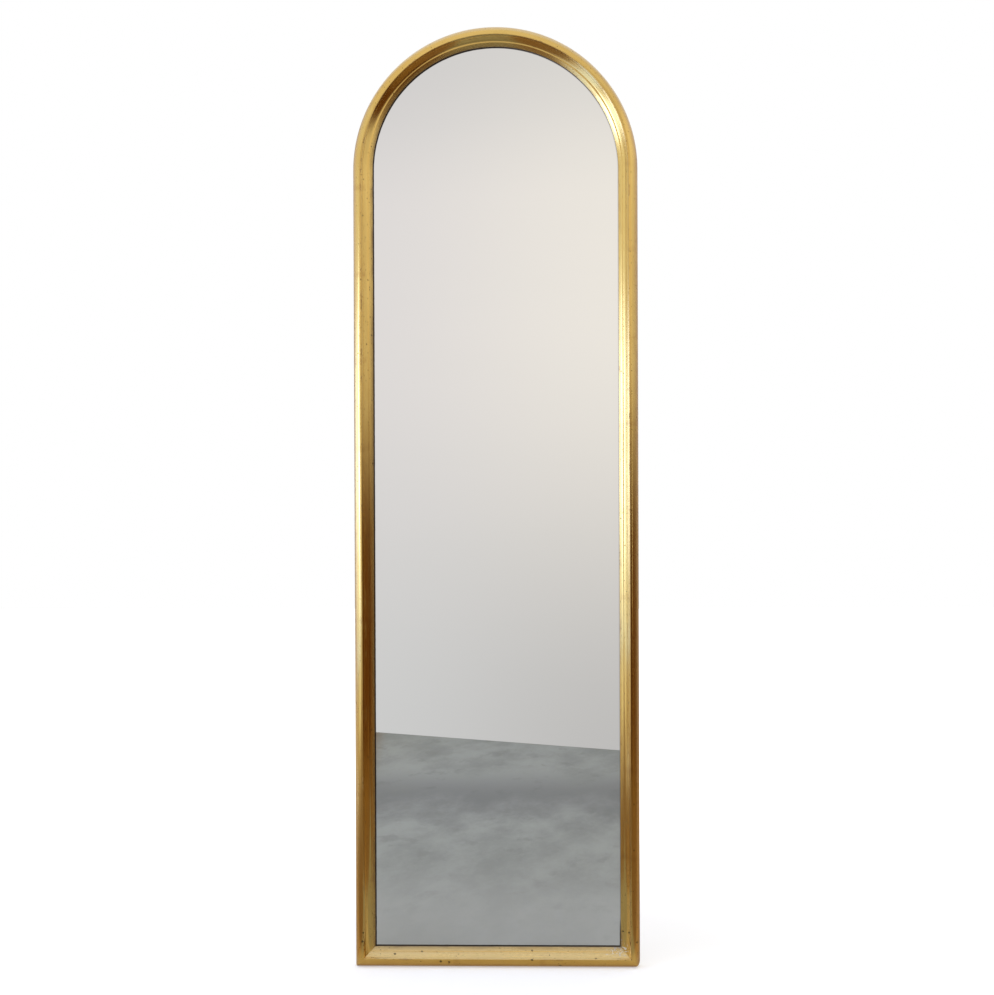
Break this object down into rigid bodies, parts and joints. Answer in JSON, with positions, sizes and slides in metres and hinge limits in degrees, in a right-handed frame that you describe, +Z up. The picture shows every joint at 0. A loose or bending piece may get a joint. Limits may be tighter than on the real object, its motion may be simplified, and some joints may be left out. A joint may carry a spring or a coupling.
{
  "type": "arched wall mirror",
  "caption": "Tall arched wall mirror: a gilded wooden moulding with a semicircular head round a silvered pane, with a hardboard back held by turn buttons, hung on rings.",
  "frame": {"origin": "middle of the bottom edge, on the plane of the frame's back", "axes": "+X to the right as seen from in front, +Y towards the wall, +Z up"},
  "size_m": [0.5, 0.035, 1.65],
  "materials": {
    "gilded_wood": "worn gold leaf over a red-brown ground, bare wood behind",
    "dowel_wood": "bare beech",
    "nail_steel": "bright steel",
    "silvered_glass": "polished float glass, silvered behind",
    "cork": "cut cork",
    "card": "grey-brown card",
    "hardboard": "screen-backed hardboard",
    "plated_steel": "zinc plate",
    "screw_steel": "yellow zinc plate",
    "button_steel": "brass-plated steel",
    "bumper_rubber": "matt black"
  },
  "bodies": {
    "frame": {"left_stile": "gilded_wood", "right_stile": "gilded_wood", "bottom_rail": "gilded_wood", "arch_left": "gilded_wood", "arch_right": "gilded_wood", "frame_dowels": "dowel_wood", "mitre_v_nails": "nail_steel", "mirror_glass": "silvered_glass", "glass_shims": "cork", "backing_card": "card", "back_board": "hardboard", "hanger_strap_left": "plated_steel", "hanger_strap_right": "plated_steel", "hanger_screws": "screw_steel", "turn_button_screws": "screw_steel", "wall_bumpers": "bumper_rubber"},
    "ring_left": {"hanger_ring_left": "plated_steel"},
    "ring_right": {"hanger_ring_right": "plated_steel"},
    "button_left_low": {"turn_button_left_low": "button_steel"},
    "button_right_low": {"turn_button_right_low": "button_steel"},
    "button_left_mid": {"turn_button_left_mid": "button_steel"},
    "button_right_mid": {"turn_button_right_mid": "button_steel"},
    "button_left_high": {"turn_button_left_high": "button_steel"},
    "button_right_high": {"turn_button_right_high": "button_steel"},
    "button_arch_left": {"turn_button_arch_left": "button_steel"},
    "button_arch_right": {"turn_button_arch_right": "button_steel"},
    "button_bottom_left": {"turn_button_bottom_left": "button_steel"},
    "button_bottom_right": {"turn_button_bottom_right": "button_steel"}
  },
  "joints": [
    {"name": "ring_left_swing", "type": "hinge", "parent": "frame", "child": "ring_left", "pos_m": [-0.2365, 0.00235, 1.12], "axis": [-1, 0, 0], "range_deg": [0, 175]},
    {"name": "ring_right_swing", "type": "hinge", "parent": "frame", "child": "ring_right", "pos_m": [0.2365, 0.00235, 1.12], "axis": [-1, 0, 0], "range_deg": [0, 175]},
    {"name": "button_left_low_turn", "type": "hinge", "parent": "frame", "child": "button_left_low", "pos_m": [-0.231, 0.0007, 0.22], "axis": [0, 1, 0], "range_deg": [-90, 90]},
    {"name": "button_right_low_turn", "type": "hinge", "parent": "frame", "child": "button_right_low", "pos_m": [0.231, 0.0007, 0.22], "axis": [0, 1, 0], "range_deg": [-90, 90]},
    {"name": "button_left_mid_turn", "type": "hinge", "parent": "frame", "child": "button_left_mid", "pos_m": [-0.231, 0.0007, 0.7], "axis": [0, 1, 0], "range_deg": [-90, 90]},
    {"name": "button_right_mid_turn", "type": "hinge", "parent": "frame", "child": "button_right_mid", "pos_m": [0.231, 0.0007, 0.7], "axis": [0, 1, 0], "range_deg": [-90, 90]},
    {"name": "button_left_high_turn", "type": "hinge", "parent": "frame", "child": "button_left_high", "pos_m": [-0.231, 0.0007, 1.26], "axis": [0, 1, 0], "range_deg": [-90, 90]},
    {"name": "button_right_high_turn", "type": "hinge", "parent": "frame", "child": "button_right_high", "pos_m": [0.231, 0.0007, 1.26], "axis": [0, 1, 0], "range_deg": [-90, 90]},
    {"name": "button_arch_left_turn", "type": "hinge", "parent": "frame", "child": "button_arch_left", "pos_m": [-0.16334, 0.0007, 1.56334], "axis": [0, 1, 0], "range_deg": [-90, 90]},
    {"name": "button_arch_right_turn", "type": "hinge", "parent": "frame", "child": "button_arch_right", "pos_m": [0.16334, 0.0007, 1.56334], "axis": [0, 1, 0], "range_deg": [-90, 90]},
    {"name": "button_bottom_left_turn", "type": "hinge", "parent": "frame", "child": "button_bottom_left", "pos_m": [-0.12, 0.0007, 0.019], "axis": [0, 1, 0], "range_deg": [-90, 90]},
    {"name": "button_bottom_right_turn", "type": "hinge", "parent": "frame", "child": "button_bottom_right", "pos_m": [0.12, 0.0007, 0.019], "axis": [0, 1, 0], "range_deg": [-90, 90]}
  ]
}
